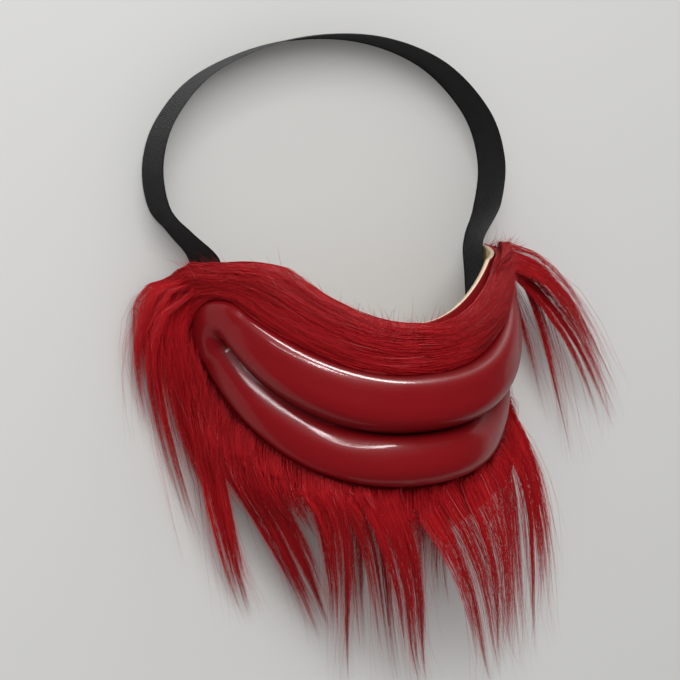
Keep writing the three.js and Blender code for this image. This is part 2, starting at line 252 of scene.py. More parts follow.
# %% A socket that can be used in sums
class Wire:
    """A node's output in one material. Sums and products of wires add Math nodes."""

    def __init__(self, tree, socket=None):
        self.tree = tree
        self.socket = socket

    def node(self, kind, settings=None, sockets=None, output=0):
        made = self.tree.nodes.new("ShaderNode" + kind)
        for name, value in (settings or {}).items():
            if name == "stops":
                while len(made.color_ramp.elements) < len(value):
                    made.color_ramp.elements.new(1)
                for element, (position, color) in zip(made.color_ramp.elements, value):
                    element.position = position
                    element.color = (*color, 1)
            else:
                setattr(made, name, value)
        for name, value in (sockets or {}).items():
            if isinstance(value, Wire):
                self.tree.links.new(value.socket, made.inputs[name])
            else:
                made.inputs[name].default_value = value
        return Wire(self.tree, made.outputs[output])

    def place(self):
        """The place of each point on its own object, in metres."""
        return self.node("TexCoord", output=3)

    def kept(self, name):
        """A number that the mesh's points keep under a name."""
        return self.node("Attribute", {"attribute_name": name}, output=2)

    def noise(self, scale, detail):
        """Noise over this place."""
        return self.node("TexNoise", sockets={"Vector": self, "Scale": scale, "Detail": detail})

    def ramp(self, *stops):
        """The colour that this number picks from stops, each a position and its colour."""
        return self.node("ValToRGB", {"stops": stops}, {"Fac": self})

    def math(self, operation, *values):
        return self.node("Math", {"operation": operation}, dict(enumerate(values)))

    def __add__(self, other):
        return self.math("ADD", self, other)

    def __mul__(self, other):
        return self.math("MULTIPLY", self, other)

    __radd__ = __add__
    __rmul__ = __mul__


def blend(start, end, share):
    """One colour going over into another. Sockets 6 and 7 are the Mix node's two colours."""
    picked = {0: share, 6: start, 7: end}
    return share.node("Mix", {"data_type": "RGBA"}, picked, output=2)


def finish(name, build, **constants):
    """A material. Constants go straight onto the shader, and build gives what varies over the surface."""
    material = bpy.data.materials.new(name)
    material.use_nodes = True
    tree = material.node_tree
    shader = tree.nodes["Principled BSDF"]
    for socket, value in constants.items():
        shader.inputs[socket.replace("_", " ")].default_value = value
    for socket, wire in build(Wire(tree)).items():
        tree.links.new(wire.socket, shader.inputs[socket])
    return material


# %% [markdown]
# ## Table and light
#
# The mask lies on a plain pale table. The real one was lit by tubes on the ceiling, which draw a thin bright
# line along the top of each lip. Above the wearer's head is along the table here, so three long lamps stand
# there on edge. Only reflections see them, and the light itself comes from one broad soft lamp and the sky.

# %% The table and the lamps
TABLE_SIZE = 6
TABLE_COLOR = (0.62, 0.615, 0.595, 1)
SKY_COLOR = (0.97, 0.98, 1, 1)
SKY_STRENGTH = 0.44
TUBES_AT = 1.0


def add_table():
    bm = bmesh.new()
    bmesh.ops.create_grid(bm, x_segments=1, y_segments=1, size=TABLE_SIZE / 2)
    table = bpy.data.objects.new("table", bpy.data.meshes.new("table"))
    bm.to_mesh(table.data)
    bm.free()
    bpy.context.scene.collection.objects.link(table)

    def paint(wire):
        grain = wire.place().noise(60, 4)
        return {"Roughness": 0.7 + 0.1 * grain}

    table.data.materials.append(finish("table_paint", paint, Base_Color=TABLE_COLOR))


def add_lamp(name, place, aim, size, watts, tilt=0, glossy=True, diffuse=True):
    """A flat lamp, tilted about the line to its aim. One that isn't glossy is never seen in a reflection, and
    one that isn't diffuse only there."""
    data = bpy.data.lights.new(name, "AREA")
    data.shape = "RECTANGLE"
    data.size, data.size_y = size
    data.energy = watts
    lamp = bpy.data.objects.new(name, data)
    lamp.location = place
    lamp.rotation_euler = (Vector(aim) - Vector(place)).to_track_quat("-Z", "Y").to_euler()
    lamp.rotation_euler.rotate_axis("Z", math.radians(tilt))
    lamp.visible_glossy = glossy
    lamp.visible_diffuse = diffuse
    bpy.context.scene.collection.objects.link(lamp)


def add_tube(name, across, up, size, watts, tilt=0):
    """A lamp on edge past the wearer's head, which only reflections see."""
    add_lamp(name, (across, TUBES_AT, up), (across, 0, up), size, watts, tilt, diffuse=False)


def add_sky():
    world = bpy.data.worlds.new("room")
    world.use_nodes = True
    background = world.node_tree.nodes["Background"]
    background.inputs["Color"].default_value = SKY_COLOR
    background.inputs["Strength"].default_value = SKY_STRENGTH
    world.cycles_visibility.glossy = False
    bpy.context.scene.world = world


add_table()
add_sky()
add_tube("ceiling_tube", across=0.15, up=0.23, size=(0.54, 0.38), watts=34)
add_tube("second_tube", across=-0.90, up=0.98, size=(0.86, 0.08), watts=15, tilt=-14)
add_tube("third_tube", across=-0.33, up=0.87, size=(0.50, 0.14), watts=15, tilt=20)
add_lamp("soft_overhead", place=(-0.4, 0.8, 1.4), aim=(0, 0, 0), size=(1.2, 1.2), watts=21, glossy=False)
bpy.context.scene.view_settings.view_transform = "Standard"
print("lamps:", [light.name for light in bpy.data.lights])

# %% [markdown]
# ## The latex casting
#
# Latex masks are slip cast: liquid rubber is poured into a plaster mould, a skin two millimetres thick sets
# against it, and the rest is poured out. So the whole casting is one skin with the same wall everywhere, and
# the lips are hollow.
#
# In Blender that is a grid: one direction goes round the mouth, the other from the cleft over a lip and out
# to the edge. Moving the grid's points to their places on the face makes the skin, and solidify gives it its
# wall, as the mould did.

# %% Make the casting
WALL = 0.002
LIP_FULLNESS = 2.2
UPPER_LIP_SHOULDER = 4.5
INNER_FULLNESS = 2.8
SLOPING_BETWEEN = (math.radians(10), math.radians(36))
SKIN_COLUMNS = 272
SKIN_ROWS = 46
LIP_ROWS_SHARE = 0.62


def smooth(value, low, high):
    """0 below low and 1 above high, with an even turn at both."""
    share = min(1, max(0, (value - low) / (high - low)))
    return share * share * (3 - 2 * share)


def lip_profile(across, turned, sideways):
    """The lip's height over its own width: 0 at both sides and 1 along its ridge. The upper lip has a full
    shoulder towards the nose. The lower one is full at the middle of the mouth, and slopes evenly down into
    the cleft at both sides."""
    outer = mix(UPPER_LIP_SHOULDER, LIP_FULLNESS, turned)
    inner = mix(LIP_FULLNESS, mix(INNER_FULLNESS, LIP_FULLNESS, sideways), turned)
    fullness = outer if across > 0.5 else inner
    rounded = (1 - abs(2 * across - 1) ** fullness) ** (1 / fullness)
    sloping = turned * sideways if across < 0.5 else 0
    return mix(rounded, math.sin(math.pi * across), sloping)


def skin_point(around, out):
    """A point of the skin from a share of the way round the mouth and a share of the way out to the edge, and
    how far across the lip it lies."""
    spine, lip, edge, height, turned = column(4 * around % 4)
    if out <= LIP_ROWS_SHARE:
        across = 0.5 - 0.5 * math.cos(math.pi * out / LIP_ROWS_SHARE)
        sideways = smooth(abs(spine[0]) / WRAP_RADIUS, *SLOPING_BETWEEN)
        lift = max(CLEFT_FLOOR * (1 - across), height * lip_profile(across, turned, sideways))
        girth, rise = mix(spine, lip, across)
    else:
        share = (out - LIP_ROWS_SHARE) / (1 - LIP_ROWS_SHARE)
        across, lift = 1, 0
        girth, rise = mix(lip, edge, share)
    return on_face(girth, rise, lift), across


def new_piece(name, mesh, *materials):
    piece = bpy.data.objects.new(name, mesh)
    bpy.context.scene.collection.objects.link(piece)
    for material in materials:
        mesh.materials.append(material)
    return piece


def smooth_mesh(name, bm):
    """Everything that was built with bmesh, shaded smooth, as a mesh of its own."""
    for face in bm.faces:
        face.smooth = True
    mesh = bpy.data.meshes.new(name)
    bm.to_mesh(mesh)
    bm.free()
    return mesh


def make_skin():
    bm = bmesh.new()
    bmesh.ops.create_grid(bm, x_segments=SKIN_COLUMNS, y_segments=SKIN_ROWS, size=0.5)
    lip_layer = bm.verts.layers.float.new("across_lip")
    for vert in bm.verts:
        place, vert[lip_layer] = skin_point(vert.co.x + 0.5, vert.co.y + 0.5)
        vert.co = place
    bmesh.ops.remove_doubles(bm, verts=bm.verts, dist=1e-5)
    bmesh.ops.recalc_face_normals(bm, faces=bm.faces)
    top = max(bm.faces, key=lambda face: face.calc_center_median().z)
    if top.normal.z < 0:
        bmesh.ops.reverse_faces(bm, faces=bm.faces)
    return smooth_mesh("latex_skin", bm)


def latex_paint(wire):
    place = wire.place()
    across = wire.kept("across_lip")
    cloud = place.noise(34, 3)
    peel = place.noise(620, 2)
    wave = place.noise(95, 1)
    # Painted shade: the red darkens into the cleft between the lips, where they shade each other.
    painted_shade = across.ramp(
        (0.0, (0.09, 0.002, 0.003)), (0.10, (0.17, 0.003, 0.005)), (0.30, (0.230, 0.004, 0.007)),
        (1.0, (0.220, 0.004, 0.007)),
    )
    color = blend(painted_shade, (0.17, 0.003, 0.006, 1), cloud * 0.4)
    bump = wire.node("Bump", sockets={"Strength": 0.6, "Distance": 0.0005, "Height": peel * 0.12 + wave})
    return {"Base Color": color, "Roughness": 0.36 + 0.12 * cloud, "Normal": bump}


def bare_latex(wire):
    place = wire.place()
    cloud = place.noise(40, 5)
    pores = place.noise(900, 2)
    cream = cloud.ramp((0.3, (0.52, 0.36, 0.20)), (0.7, (0.70, 0.53, 0.34)))
    bump = wire.node("Bump", sockets={"Strength": 0.4, "Distance": 0.0003, "Height": pores * 0.3 + cloud})
    return {"Base Color": cream, "Roughness": 0.55 + 0.2 * cloud, "Normal": bump}


def make_casting():
    paint = finish("red_latex_paint", latex_paint, Specular_IOR_Level=0.12, Coat_Weight=0.34,
                   Coat_Roughness=0.13)
    bare = finish("bare_latex", bare_latex)
    casting = new_piece("latex_casting", make_skin(), paint, bare)
    wall = casting.modifiers.new("wall", "SOLIDIFY")
    wall.thickness = WALL
    wall.offset = -1
    wall.use_even_offset = True
    wall.material_offset = 1
    wall.material_offset_rim = 1
    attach(casting, "root")
    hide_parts("latex_shell")
    return casting


casting = make_casting()
print("casting:", len(casting.data.vertices), "points in its outer skin")

# %% [markdown]
# ## Hair as tapered curves
#
# Fake fur is straight acrylic fibre. Particles would be quick, but they aren't meshes. Here every hair is a
# curve through a few chosen places, with a three-sided section that tapers to nothing at both ends. Blender
# turns all the curves of a piece into one mesh, and merging the closed ends makes every hair a closed spindle
# of two or three dozen faces.

# %% Turn paths into a piece made of hairs
STEPS_LONG = np.array([0, 0.05, 0.20, 0.38, 0.58, 0.80, 1])
STEPS_TUFT = np.array([0, 0.05, 0.19, 0.29, 0.37, 0.52, 0.74, 1])
STEPS_SHORT = np.array([0, 0.06, 0.32, 0.58, 0.82, 1])
FULL_BY = 0.05
TAPER_POWER = 1.8
TAPER_BLUNTNESS = 0.9
HAIR_SEED = 7


def through(keys, shares):
    """Smooth paths through rows of places. Keys are hairs by places by three."""
    before = 2 * keys[:, :1] - keys[:, 1:2]
    after = 2 * keys[:, -1:] - keys[:, -2:-1]
    padded = np.concatenate([before, keys, after], axis=1)
    spans = keys.shape[1] - 1
    at = shares * spans
    span = np.minimum(at.astype(int), spans - 1)
    t = (at - span)[None, :, None]
    a, b, c, d = (padded[:, span + i] for i in range(4))
    bend = 2 * a - 5 * b + 4 * c - d
    return 0.5 * (2 * b + (c - a) * t + bend * t**2 + (3 * b - a - 3 * c + d) * t**3)


def hair_section():
    """The section that is drawn along each hair: a circle with three corners."""
    data = bpy.data.curves.new("hair_section", "CURVE")
    data.dimensions = "2D"
    spline = data.splines.new("POLY")
    spline.points.add(2)
    for i, point in enumerate(spline.points):
        turn = -2 * math.pi * i / 3
        point.co = (math.cos(turn), math.sin(turn), 0, 1)
    spline.use_cyclic_u = True
    return bpy.data.objects.new("hair_section", data)


HAIR_SECTION = hair_section()


def tapered(steps, widths):
    """Radii that start and end at nothing, are full just past the root, and narrow slowly to the tip."""
    shape = np.minimum(1, steps / FULL_BY) * (1 - steps**TAPER_POWER) ** TAPER_BLUNTNESS
    return widths[:, None] / 2 * shape[None, :]


def hair_mesh(name, paths, radii, steps, tones):
    """One mesh of closed tapered hairs, with each hair's tone and the share along it kept on its points."""
    data = bpy.data.curves.new(name, "CURVE")
    data.dimensions = "3D"
    data.bevel_mode = "OBJECT"
    data.bevel_object = HAIR_SECTION
    for path, radius in zip(paths, radii):
        spline = data.splines.new("POLY")
        spline.points.add(len(path) - 1)
        spline.points.foreach_set("co", np.c_[path, np.ones(len(path))].ravel())
        spline.points.foreach_set("radius", radius)
    drawn = bpy.data.objects.new(name, data)
    bpy.context.scene.collection.objects.link(drawn)
    mesh = bpy.data.meshes.new_from_object(drawn.evaluated_get(bpy.context.evaluated_depsgraph_get()))
    bpy.data.objects.remove(drawn)
    bpy.data.curves.remove(data)
    sides = len(mesh.vertices) // radii.size
    tone = mesh.attributes.new("tone", "FLOAT", "POINT")
    tone.data.foreach_set("value", np.repeat(tones, len(steps) * sides))
    share = mesh.attributes.new("along_hair", "FLOAT", "POINT")
    share.data.foreach_set("value", np.tile(np.repeat(steps, sides), len(paths)))
    bm = bmesh.new()
    bm.from_mesh(mesh)
    bmesh.ops.remove_doubles(bm, verts=bm.verts, dist=1e-6)
    for face in bm.faces:
        face.smooth = True
    bm.to_mesh(mesh)
    bm.free()
    return mesh


rng = np.random.default_rng(HAIR_SEED)
print("a long hair has", len(STEPS_LONG), "rings")

# %% [markdown]
# ## The finish of the fur
#
# Each hair carries a tone, which makes it a darker or a clearer red. A few fibres are painted paler, as
# a glint of light on them, and hair is painted darker towards its root, as the shade that falls there.

# %% The fur's finish
def fur_fibre(wire):
    # The tone picks a red. Its last stop, a pale pink, is a painted glint on the few fibres that get it.
    red = wire.kept("tone").ramp(
        (0.0, (0.17, 0.002, 0.005)), (0.35, (0.38, 0.006, 0.011)), (0.75, (0.58, 0.012, 0.018)),
        (0.94, (0.66, 0.022, 0.028)), (1.0, (0.72, 0.13, 0.14)),
    )
    # Painted shade: the red darkens towards each hair's root, where the other hair shades it.
    painted_shade = wire.kept("along_hair").ramp((0.0, (1, 1, 1)), (0.28, (0, 0, 0)))
    return {"Base Color": blend(red, (0.14, 0.002, 0.004, 1), painted_shade * 0.55)}


FUR_FIBRE = finish("fur_fibre", fur_fibre, Roughness=0.5, Specular_IOR_Level=0.1, Sheen_Weight=0.12,
                   Sheen_Tint=(0.9, 0.12, 0.12, 1))
HAIR_WIDTH = (0.00014, 0.00029)
FINE_WIDTH = (0.00010, 0.00018)
TONE_SCATTER = 0.08
GLINT_SHARE = 0.015
CLEAREST_RED = 0.93
OFF_TABLE = 0.0001


def tone_of(wisp_tones, hairs):
    """Hairs share their wisp's tone, apart from a scatter of pale ones, whose paler tone is a painted glint.
    """
    tones = wisp_tones + rng.normal(0, TONE_SCATTER, hairs)
    glinting = rng.random(hairs) < GLINT_SHARE
    return np.clip(np.where(glinting, 1, np.minimum(tones, CLEAREST_RED)), 0, 1)


def fur_piece(name, node, keys, steps, widths, tones):
    """A piece of fur from the places that its hairs pass through. Hair lies on the table, never under it."""
    paths, radii = through(keys, steps), tapered(steps, widths)
    paths[..., 2] = np.maximum(paths[..., 2], radii + OFF_TABLE)
    piece = new_piece(name, hair_mesh(name, paths, radii, steps, tone_of(tones, len(keys))), FUR_FIBRE)
    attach(piece, "root")
    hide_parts(node)
    triangles = sum(len(face.vertices) - 2 for face in piece.data.polygons)
    print(name, len(paths), "hairs", triangles, "triangles")
    return piece


# %% [markdown]
# ## The pile under the hair
#
# Hair that is sparse enough to count is also sparse enough to see through. The real strip is dense, and what
# shows between the top hairs is more hair in shade. A closed body with combed grooves stands for that, and
# the hairs that are drawn one by one lie over it. On the wearer's left the upper strip stops short of the
# latex edge, and a bare band of red rubber shows beside it.

# %% The dense pile of each strip
STRIPS_MEET = 0.62
GLUE_GAP = 0.0004
UPPER_PILE = 0.009
LOWER_PILE = 0.0075
UPPER_BODY = 0.0066
LOWER_BODY = 0.0046
BODY_SHARES = (0.04, 0.98)
GROOVE_DEPTH = 0.14
THINS_OVER = 0.08
THINS_TO = 0.1
PILE_COLUMNS = 200
PILE_ROWS = 20
UPPER_ENDS = (4 - STRIPS_MEET, 5 + STRIPS_MEET)
LOWER_ENDS = (1 + STRIPS_MEET, 4 - STRIPS_MEET)
BARE_PLACES = (3.9, 4.1, 4.35, 4.5)
BARE_SHARES = (0.94, 0.80, 0.84, 1.0)
COMBED_SHARES = (0, 0.2, 0.7, 0.93, 1)
COMBED_HEIGHTS = (0.75, 1, 1, 0.7, 0.2)


def covered(place):
    """The share of the way out to the edge that the upper strip covers."""
    return np.interp(place, BARE_PLACES, BARE_SHARES)


def pile_height(share):
    """The pile is a little lower beside the lip, and thins at the strip's far edge."""
    return np.interp(share, COMBED_SHARES, COMBED_HEIGHTS)


def make_pile(name, node, ends, full, comb, last_share):
    """A grid over the strip, raised from the glue line to most of the pile's height. Comb says which groove a
    place is in, and last_share how far out the body reaches there."""
    bm = bmesh.new()
    bmesh.ops.create_grid(bm, x_segments=PILE_COLUMNS, y_segments=PILE_ROWS, size=0.5)
    tops = bmesh.ops.extrude_face_region(bm, geom=bm.faces[:])["geom"]
    raised = {item for item in tops if isinstance(item, bmesh.types.BMVert)}
    flow = bm.verts.layers.float.new("across_flow")
    for vert in bm.verts:
        place = mix(*ends, vert.co.x + 0.5)
        out = vert.co.y + 0.5
        share = mix(BODY_SHARES[0], last_share(place), out)
        groove = mix(1 - GROOVE_DEPTH, 1, abs(math.sin(math.pi * comb(place, share))))
        to_end = min(1, (place - ends[0]) / THINS_OVER, (ends[1] - place) / THINS_OVER)
        lift = GLUE_GAP
        if vert in raised:
            raised_by = full * float(pile_height(mix(*BODY_SHARES, out)))
            lift += raised_by * groove * max(THINS_TO, to_end) ** 0.5
        vert[flow] = comb(place, share)
        girth, height = on_strip(place, share)
        vert.co = on_face(girth, height, lift)
    bmesh.ops.recalc_face_normals(bm, faces=bm.faces)
    piece = new_piece(name, smooth_mesh(name, bm), PILE_SHADE)
    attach(piece, "root")
    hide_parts(node)
    return piece


def pile_shade(wire):
    flow = wire.kept("across_flow")
    streak = wire.node("TexNoise", {"noise_dimensions": "1D"}, {"W": flow, "Scale": 60, "Detail": 4})
    color = streak.ramp((0.3, (0.16, 0.002, 0.004)), (0.7, (0.32, 0.005, 0.009)))
    bump = wire.node("Bump", sockets={"Strength": 0.8, "Distance": 0.0006, "Height": streak})
    return {"Base Color": color, "Normal": bump}


PILE_SHADE = finish("pile_shade", pile_shade, Roughness=0.7, Specular_IOR_Level=0.15)
make_pile("upper_pile", "upper_fur", UPPER_ENDS, UPPER_BODY,
          comb=lambda place, share: 3.5 * share + 0.5 * place,
          last_share=lambda place: 0.95 * float(covered(place)))
make_pile("lower_pile", "lower_fur", LOWER_ENDS, LOWER_BODY,
          comb=lambda place, share: 9 * place + 0.6 * share,
          last_share=lambda place: BODY_SHARES[1])

# %% [markdown]
# ## The combed strip above the mouth
#
# From under the nose the hair is combed out to both sides, so each hair runs along the strip. Hairs gather in
# wisps, which is what makes fur look combed and not like a brush: every hair of a wisp starts near it and
# ends almost on it. Round the parting the wisps of both sides cross.

# %% The upper strip's hair
HAIRS_PER_WISP = 12
BAND_WISPS = 540
BAND_LENGTH = (0.026, 0.056)
BAND_ENDS = (5.6, 3.45)
PLACE_LENGTH = 0.16
COMB_KEYS = ((0, 0.45, 1), (0.3, 0.9, 0.85), (0.65, 1, 0.6), (1, 1.02, 0.35))
MIDDLE = 4.5
CROSSING = 0.07
PARTING = 4.36
PARTING_WIDTH = 0.09
PARTING_SHADE = 0.5
TEMPLE_PLACE = 5.12
TEMPLE_REACH = 0.14
TEMPLE_BULGE = 0.32
BAND_TONES = (0.40, 0.82)


def bulge(place):
    """At the wearer's right temple the hair stands up past the edge of the latex."""
    return 1 + TEMPLE_BULGE * np.exp(-(((place - TEMPLE_PLACE) / TEMPLE_REACH) ** 2))


def combed_band(side, end):
    """Hairs on one half of the strip. Side is +1 towards the wearer's right and -1 towards the left. The keys
    say how far along each place is, how high in the pile, and how wide the wisp is there."""
    hairs = BAND_WISPS * HAIRS_PER_WISP
    wisp = np.repeat(np.arange(BAND_WISPS), HAIRS_PER_WISP)
    start = (MIDDLE + side * (abs(end - MIDDLE) * rng.random(BAND_WISPS) ** 1.05 - CROSSING))[wisp]
    lane = rng.uniform(0.03, 1.0, BAND_WISPS)[wisp]
    travel = rng.uniform(*BAND_LENGTH, BAND_WISPS)[wisp] * rng.uniform(0.75, 1.1, hairs) / PLACE_LENGTH
    drift = rng.normal(0.03, 0.06, BAND_WISPS)[wisp] * (1 - 0.5 * lane)
    layer = rng.uniform(0.78, 1.06, BAND_WISPS)[wisp] + rng.normal(0, 0.035, hairs)
    spread = rng.normal(0, 0.06, hairs)
    stagger = rng.normal(0, 0.03, hairs)
    keys = []
    for run, rise, gather in COMB_KEYS:
        place = start + stagger + side * travel * run
        share = np.clip(lane + spread * gather + drift * run, 0.01, 1.02)
        girth, height = on_strip(place, share * covered(place) * bulge(place))
        keys.append(on_face(girth, height, UPPER_PILE * pile_height(share) * rise * layer))
    parting = np.exp(-(((start - PARTING) / PARTING_WIDTH) ** 2)) * (1 - lane)
    tones = rng.uniform(*BAND_TONES, BAND_WISPS)[wisp] - PARTING_SHADE * parting
    return np.stack(keys, axis=1), STEPS_SHORT, rng.uniform(*HAIR_WIDTH, hairs), tones


fur_piece("combed_fur_right", "upper_fur", *combed_band(1, BAND_ENDS[0]))
fur_piece("combed_fur_left", "upper_fur", *combed_band(-1, BAND_ENDS[1]))

# %% [markdown]
# ## Locks that fall to the table
#
# The long hair at the ends of the upper strip and all of the beard hang in locks. A lock springs out from the
# strip, arches over, and comes down until its tip lies on the table, which a curve with four controls
# describes. Its hairs part into strands, which draw together on the way down, and a quarter of them stray.

# %% The path of a lock and of its hairs
LOCK_SAG = 0.35
LOCK_THICKNESS = 0.0064
LOCK_TONES = (0.45, 0.8)
LEAST_LENGTH = 0.4
STRANDS = 8
STRAND_REACH = (0.6, 1)
STRAND_LAYER = 0.6
STRAND_WIDTH = (0.07, 0.20)
STRAND_BEND = 0.12
STRAY_SHARE = 0.26
STRAY_SPREAD = 0.55
CLOSING = 1.3
LOCK_PARTS = ("angle", "inset", "tip", "width", "arch", "sweep", "hairs", "closes")
TABLE_UP = np.array([0, 0, 1.0])
KEY_SHARES = np.array([0, 0.2, 0.42, 0.68, 1])


def unit(vectors):
    return vectors / np.linalg.norm(vectors, axis=-1, keepdims=True)


def lock_controls(lock, edge, inwards, lift):
    girth = math.radians(lock["angle"]) * WRAP_RADIUS
    height = edge(girth) + inwards * lock["inset"]
    start = on_face(girth, height, lift)
    out = unit(start - on_face(girth, height, 0))
    end = np.array([MIDDLE_X + lock["tip"][0], MOUTH_Y + lock["tip"][1], 0.001])
    first = start + out * lock["arch"] + np.array([*lock["sweep"], 0])
    second = mix(end, first, LOCK_SAG)
    second[2] = LOCK_THICKNESS
    return np.array([start, first, second, end]), out


def along_lock(controls, out, share, sideways, above):
    """Places along a lock, each moved sideways and up from its curve. Share is hairs by keys."""
    t = share[..., None]
    a, b, c, d = controls
    place = a * (1 - t) ** 3 + b * 3 * t * (1 - t) ** 2 + c * 3 * t**2 * (1 - t) + d * t**3
    side = unit(np.cross(d - a, mix(out, TABLE_UP, t)))
    over = unit(np.cross(side, d - a))
    return place + side * sideways[..., None] + over * above[..., None]


def hairs_of_lock(lock, controls, out):
    """Places along each hair of a lock, with the hairs' widths and tones. The hairs part into strands. Each
    strand has a seat across the root, a place where it leaves the lock, and a reach of its own."""
    hairs = lock["hairs"]
    strand = rng.integers(0, STRANDS, hairs)[:, None]
    stray = rng.random((hairs, 1)) < STRAY_SHARE
    seat = np.linspace(-0.9, 0.9, STRANDS) + rng.normal(0, 0.08, STRANDS)
    leave = seat * lock["closes"] + rng.normal(0, 0.07, STRANDS)
    bend = rng.normal(0, STRAND_BEND, STRANDS)
    reach = rng.uniform(*STRAND_REACH, STRANDS)[strand]
    layer = rng.uniform(-STRAND_LAYER, STRAND_LAYER, STRANDS)[strand]
    own = np.clip(rng.normal(0, 0.5, (hairs, 1)), -1, 1)
    deep = np.clip(rng.normal(0, 0.5, (hairs, 1)), -1, 1)
    own_length = rng.uniform(LEAST_LENGTH, 1, (hairs, 1))
    share = KEY_SHARES * np.where(stray, own_length, reach * mix(LEAST_LENGTH, 1, own_length))
    left = 1 - share
    gathered = STRAND_WIDTH[0] + STRAND_WIDTH[1] * np.maximum(0, 1 - share / reach) ** CLOSING
    middle = mix(leave[strand], seat[strand], left**CLOSING) + bend[strand] * np.sin(3 * share)
    across = middle + own * np.where(stray, gathered + STRAY_SPREAD * share, gathered)
    above = LOCK_THICKNESS / 2 * (0.25 + (layer + 0.5 * deep) * (0.10 + 0.65 * left))
    tones = rng.uniform(*LOCK_TONES, STRANDS)[strand[:, 0]] + rng.normal(0, TONE_SCATTER, hairs)
    widths = np.where(stray[:, 0], rng.uniform(*FINE_WIDTH, hairs), rng.uniform(*HAIR_WIDTH, hairs))
    return along_lock(controls, out, share, lock["width"] / 2 * across, above), widths, np.clip(tones, 0, 1)


print("a lock's hairs follow", len(KEY_SHARES), "places each")

# %% [markdown]
# ## The tufts at the ends of the upper strip
#
# Hair from the last stretch of the combed strip runs on past its end. On the wearer's left it springs up and
# fans out in a tuft, and on the right it falls beside the corner of the mouth.

# %% The tufts
TUFTS = [dict(zip(LOCK_PARTS, parts)) for parts in (
    (-82, 0.008, (-0.091, 0.001), 0.016, 0.0140, (-0.015, 0.000), 330, 0.50),
    (-81, 0.014, (-0.095, -0.011), 0.016, 0.0149, (-0.017, -0.006), 370, 0.50),
    (-84, 0.011, (-0.073, -0.065), 0.014, 0.0120, (-0.014, -0.022), 430, 0.55),
    (-82, 0.020, (-0.070, -0.042), 0.013, 0.0070, (-0.006, 0.002), 470, 0.50),
    (-84, 0.026, (-0.062, -0.050), 0.016, 0.0040, (-0.004, -0.010), 430, 0.40),
    (61, 0.010, (0.166, -0.020), 0.016, 0.0020, (0.033, -0.007), 400, 0.85),
    (68, 0.013, (0.160, -0.033), 0.016, 0.0060, (0.041, -0.040), 330, 0.80),
    (70, 0.013, (0.139, -0.049), 0.014, 0.0070, (0.011, -0.004), 260, 0.60),
    (78, 0.012, (0.121, -0.026), 0.012, 0.0070, (0.002, -0.020), 120, 0.60),
)]
TUFT_RUN_IN = 0.050
TUFT_LOWEST = 0.028
TUFT_LIFT = 0.0078
TUFT_ROOT_LIFT = 0.004
LEAST_INSET = 0.002


def tuft_hairs(locks):
    """The hairs of some tufts. Each starts a good way back in the strip and runs out of it on top: along the
    top edge for the high ones, and from above for the low ones, where the strip turns round the mouth."""
    made = []
    for lock in locks:
        controls, out = lock_controls(lock, top_edge, -1, TUFT_LIFT)
        falling, widths, tones = hairs_of_lock(lock, controls, out)
        girth, height = off_face(falling[:, 0])
        low = lock["inset"] / TUFT_LOWEST
        back = TUFT_RUN_IN * (1 - 0.5 * low) * rng.uniform(0.2, 1, len(girth))
        below = np.maximum(top_edge(girth) - height, LEAST_INSET)
        starts = []
        for run, lift in ((1, TUFT_ROOT_LIFT), (0.5, TUFT_LIFT)):
            at = girth - np.sign(lock["angle"]) * back * run * (1 - low)
            under = np.maximum(below - back * run * low, LEAST_INSET)
            starts.append(on_face(at, top_edge(at) - under, lift * rng.uniform(0.8, 1.1, len(at))))
        made.append((np.concatenate([np.stack(starts, axis=1), falling], axis=1), widths, tones))
    keys, widths, tones = (np.concatenate(rows) for rows in zip(*made))
    return keys, STEPS_TUFT, widths, tones


fur_piece("tufts_right", "upper_fur", *tuft_hairs(TUFTS[:5]))
fur_piece("tufts_left", "upper_fur", *tuft_hairs(TUFTS[5:]))

# %% [markdown]
# ## The beard
#
# Below the mouth a short coat of hair covers the strip, and the long locks grow out of it from one ear round
# the chin to the other. They fall the way gravity takes them from a worn mask, and spread as they land.

# %% The beard's coat and locks
BEARD = [dict(zip(LOCK_PARTS, parts)) for parts in (
    (-83, 0.024, (-0.064, -0.043), 0.016, 0.0040, (-0.002, -0.010), 460, 0.40),
    (-76, 0.009, (-0.053, -0.096), 0.017, 0.0113, (0.016, -0.045), 600, 0.42),
    (-65, 0.006, (-0.012, -0.111), 0.020, 0.0040, (0.034, -0.048), 760, 0.48),
    (-54, 0.005, (-0.024, -0.067), 0.018, 0.0080, (0.014, -0.004), 420, 0.45),
    (-36, 0.004, (-0.005, -0.139), 0.016, 0.0040, (0.017, -0.022), 500, 0.48),
    (-32, 0.004, (0.006, -0.128), 0.014, 0.0040, (0.022, -0.006), 260, 0.50),
    (-25, 0.004, (0.025, -0.145), 0.014, 0.0040, (0.018, -0.016), 330, 0.55),
    (-15, 0.004, (0.039, -0.147), 0.016, 0.0040, (0.018, -0.044), 420, 0.60),
    (-2, 0.004, (0.050, -0.109), 0.018, 0.0060, (0.011, -0.002), 260, 0.70),
    (6, 0.004, (0.085, -0.152), 0.024, 0.0040, (0.028, -0.046), 270, 0.85),
    (21, 0.004, (0.089, -0.143), 0.020, 0.0040, (0.022, -0.046), 180, 0.90),
    (34, 0.005, (0.102, -0.153), 0.020, 0.0040, (0.008, -0.012), 210, 0.90),
    (50, 0.005, (0.111, -0.142), 0.020, 0.0050, (0.014, -0.036), 210, 0.90),
    (62, 0.007, (0.118, -0.113), 0.014, 0.0040, (0.014, -0.030), 160, 0.80),
)]
BEARD_LIFT = 0.0045
BEARD_ROOTS = (0.35, 0.98)
BEARD_ROOT_LIFT = (0.001, 0.003)
LEAST_ROOM = 0.003
COAT_WISPS = 700
HAIRS_PER_COAT_WISP = 8
COAT_LENGTH = (0.016, 0.035)
COAT_WISP_WIDTH = 0.0019
